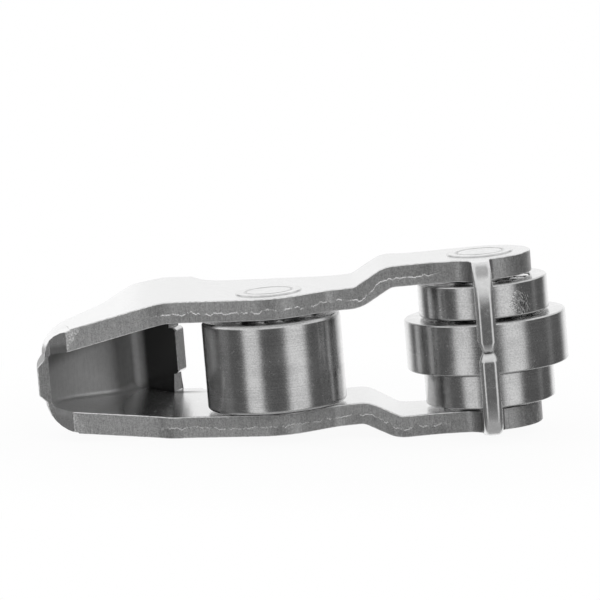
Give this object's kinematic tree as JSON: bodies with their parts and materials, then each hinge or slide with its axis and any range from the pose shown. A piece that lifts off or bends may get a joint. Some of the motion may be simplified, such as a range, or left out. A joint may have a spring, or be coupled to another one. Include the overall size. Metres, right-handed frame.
{
  "type": "valve train intermediate lever",
  "caption": "Folded sheet-steel valve lever with a cam roller, a stepped set of guide rollers on needle bearings, a curved ramp foot and two spring tabs.",
  "frame": {"origin": "on the cam roller's axis, halfway between the side plates", "axes": "+X from the foot to the guide rollers, +Y from the spring tabs towards the back of the lever, +Z along the roller axes; the side plates are mirror images about Z = 0"},
  "size_m": [0.0669, 0.0328, 0.022],
  "materials": {
    "sheet_steel": "tumbled, hardened sheet with sheared edges",
    "ground_steel": "ground and honed bearing steel",
    "pin_steel": "bright turned pin with staked ends",
    "needle_steel": "polished bearing steel"
  },
  "bodies": {
    "lever": {"lever_body": "sheet_steel", "cam_pin": "pin_steel", "guide_pin": "pin_steel"},
    "cam_roller": {"cam_roller": "ground_steel"},
    "cam_needles": {"cam_needle_1": "needle_steel", "cam_needle_2": "needle_steel", "cam_needle_3": "needle_steel", "cam_needle_4": "needle_steel", "cam_needle_5": "needle_steel", "cam_needle_6": "needle_steel", "cam_needle_7": "needle_steel", "cam_needle_8": "needle_steel", "cam_needle_9": "needle_steel", "cam_needle_10": "needle_steel", "cam_needle_11": "needle_steel", "cam_needle_12": "needle_steel", "cam_needle_13": "needle_steel"},
    "centre_roller": {"centre_roller": "ground_steel"},
    "centre_needles": {"centre_needle_1": "needle_steel", "centre_needle_2": "needle_steel", "centre_needle_3": "needle_steel", "centre_needle_4": "needle_steel", "centre_needle_5": "needle_steel", "centre_needle_6": "needle_steel", "centre_needle_7": "needle_steel", "centre_needle_8": "needle_steel", "centre_needle_9": "needle_steel", "centre_needle_10": "needle_steel", "centre_needle_11": "needle_steel", "centre_needle_12": "needle_steel", "centre_needle_13": "needle_steel"},
    "upper_guide_roller": {"upper_guide_roller": "ground_steel"},
    "upper_needles": {"upper_needle_1": "needle_steel", "upper_needle_2": "needle_steel", "upper_needle_3": "needle_steel", "upper_needle_4": "needle_steel", "upper_needle_5": "needle_steel", "upper_needle_6": "needle_steel", "upper_needle_7": "needle_steel", "upper_needle_8": "needle_steel", "upper_needle_9": "needle_steel", "upper_needle_10": "needle_steel", "upper_needle_11": "needle_steel", "upper_needle_12": "needle_steel", "upper_needle_13": "needle_steel"},
    "lower_guide_roller": {"lower_guide_roller": "ground_steel"},
    "lower_needles": {"lower_needle_1": "needle_steel", "lower_needle_2": "needle_steel", "lower_needle_3": "needle_steel", "lower_needle_4": "needle_steel", "lower_needle_5": "needle_steel", "lower_needle_6": "needle_steel", "lower_needle_7": "needle_steel", "lower_needle_8": "needle_steel", "lower_needle_9": "needle_steel", "lower_needle_10": "needle_steel", "lower_needle_11": "needle_steel", "lower_needle_12": "needle_steel", "lower_needle_13": "needle_steel"}
  },
  "joints": [
    {"name": "cam_roller_spin", "type": "hinge", "parent": "lever", "child": "cam_roller", "pos_m": [0, 0, 0], "axis": [0, 0, 1], "continuous": true},
    {"name": "cam_needles_orbit", "type": "hinge", "parent": "lever", "child": "cam_needles", "pos_m": [0, 0, 0], "axis": [0, 0, 1], "continuous": true},
    {"name": "centre_roller_spin", "type": "hinge", "parent": "lever", "child": "centre_roller", "pos_m": [0.0269, 0.0035, 0], "axis": [0, 0, 1], "continuous": true},
    {"name": "centre_needles_orbit", "type": "hinge", "parent": "lever", "child": "centre_needles", "pos_m": [0.0269, 0.0035, 0], "axis": [0, 0, 1], "continuous": true},
    {"name": "upper_guide_roller_spin", "type": "hinge", "parent": "lever", "child": "upper_guide_roller", "pos_m": [0.0269, 0.0035, 0.0056], "axis": [0, 0, 1], "continuous": true},
    {"name": "upper_needles_orbit", "type": "hinge", "parent": "lever", "child": "upper_needles", "pos_m": [0.0269, 0.0035, 0.0056], "axis": [0, 0, 1], "continuous": true},
    {"name": "lower_guide_roller_spin", "type": "hinge", "parent": "lever", "child": "lower_guide_roller", "pos_m": [0.0269, 0.0035, -0.0056], "axis": [0, 0, 1], "continuous": true},
    {"name": "lower_needles_orbit", "type": "hinge", "parent": "lever", "child": "lower_needles", "pos_m": [0.0269, 0.0035, -0.0056], "axis": [0, 0, 1], "continuous": true}
  ],
  "couplings": [
    {"joint": "cam_needles_orbit", "follows": "cam_roller_spin", "ratio": 0.61966},
    {"joint": "centre_needles_orbit", "follows": "centre_roller_spin", "ratio": 0.61966},
    {"joint": "upper_needles_orbit", "follows": "upper_guide_roller_spin", "ratio": 0.61966},
    {"joint": "lower_needles_orbit", "follows": "lower_guide_roller_spin", "ratio": 0.61966}
  ]
}
